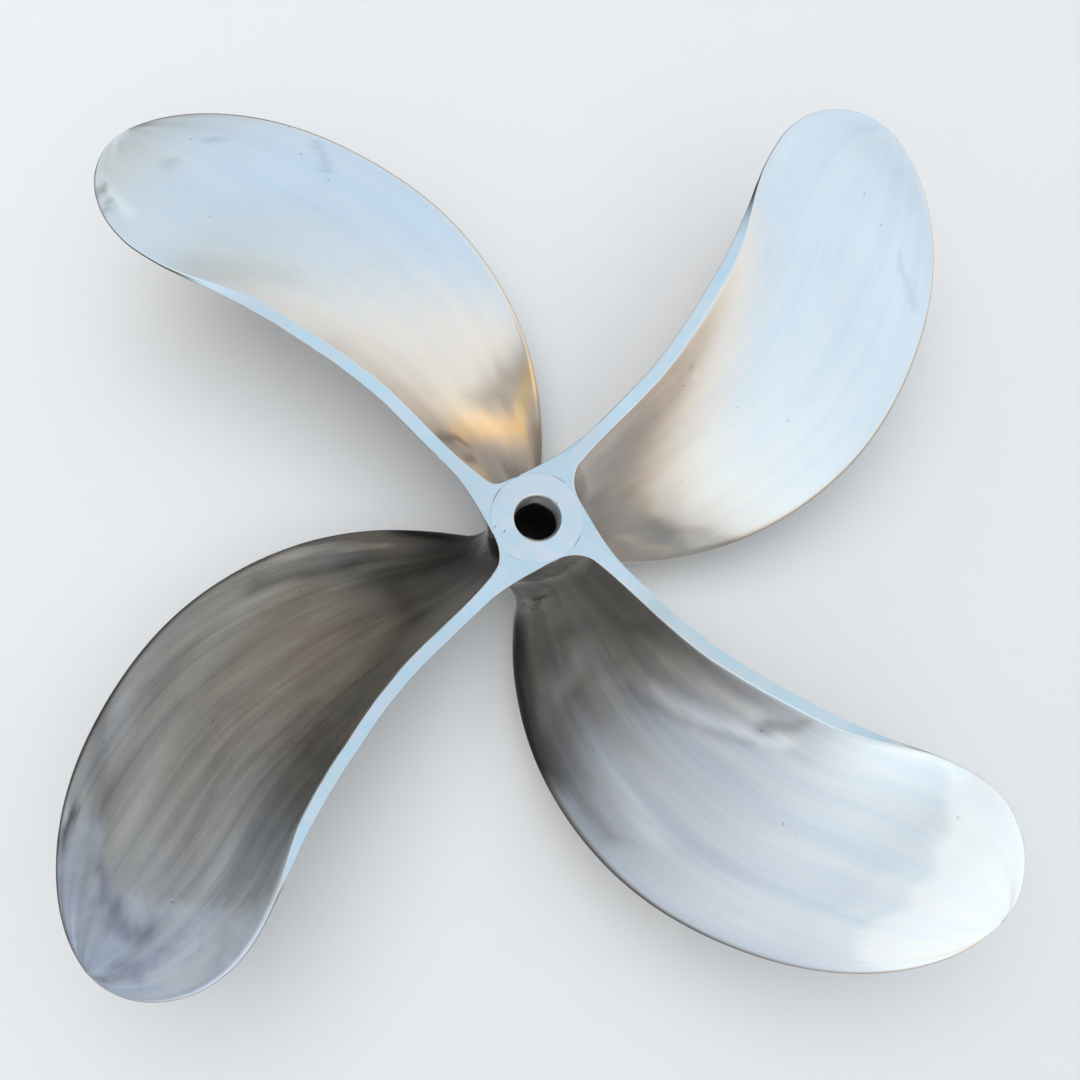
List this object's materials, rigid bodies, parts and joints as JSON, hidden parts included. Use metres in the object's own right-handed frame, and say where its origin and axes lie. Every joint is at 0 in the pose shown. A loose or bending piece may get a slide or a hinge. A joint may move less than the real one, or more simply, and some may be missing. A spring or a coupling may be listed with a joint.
{
  "type": "boat propeller",
  "caption": "Right-hand boat propeller with slender skewed blades, raked aft, welded to a short turned boss with a plain through bore.",
  "frame": {"origin": "middle of the boss's flat forward face, on the shaft axis, which is the bottom of the part as it stands", "axes": "+Z along the shaft axis from the forward face to the aft face, the side that the propeller nut bears on; +X and +Y square to it, with blade_1's mid-chord at about 47 degrees from +X at its tip and the others a quarter turn apart"},
  "size_m": [0.3912, 0.3912, 0.1018],
  "materials": {
    "turned_steel": "fine turned face, lightly polished",
    "polished_steel": "hand-polished, soft mirror with long grinding streaks",
    "weld_steel": "dressed weld metal, satin with a few pits"
  },
  "bodies": {
    "root": {"hub_boss": "turned_steel", "blade_1": "polished_steel", "blade_2": "polished_steel", "blade_3": "polished_steel", "blade_4": "polished_steel", "blade_1_pressure_weld": "weld_steel", "blade_1_suction_weld": "weld_steel", "blade_2_pressure_weld": "weld_steel", "blade_2_suction_weld": "weld_steel", "blade_3_pressure_weld": "weld_steel", "blade_3_suction_weld": "weld_steel", "blade_4_pressure_weld": "weld_steel", "blade_4_suction_weld": "weld_steel"}
  },
  "joints": []
}
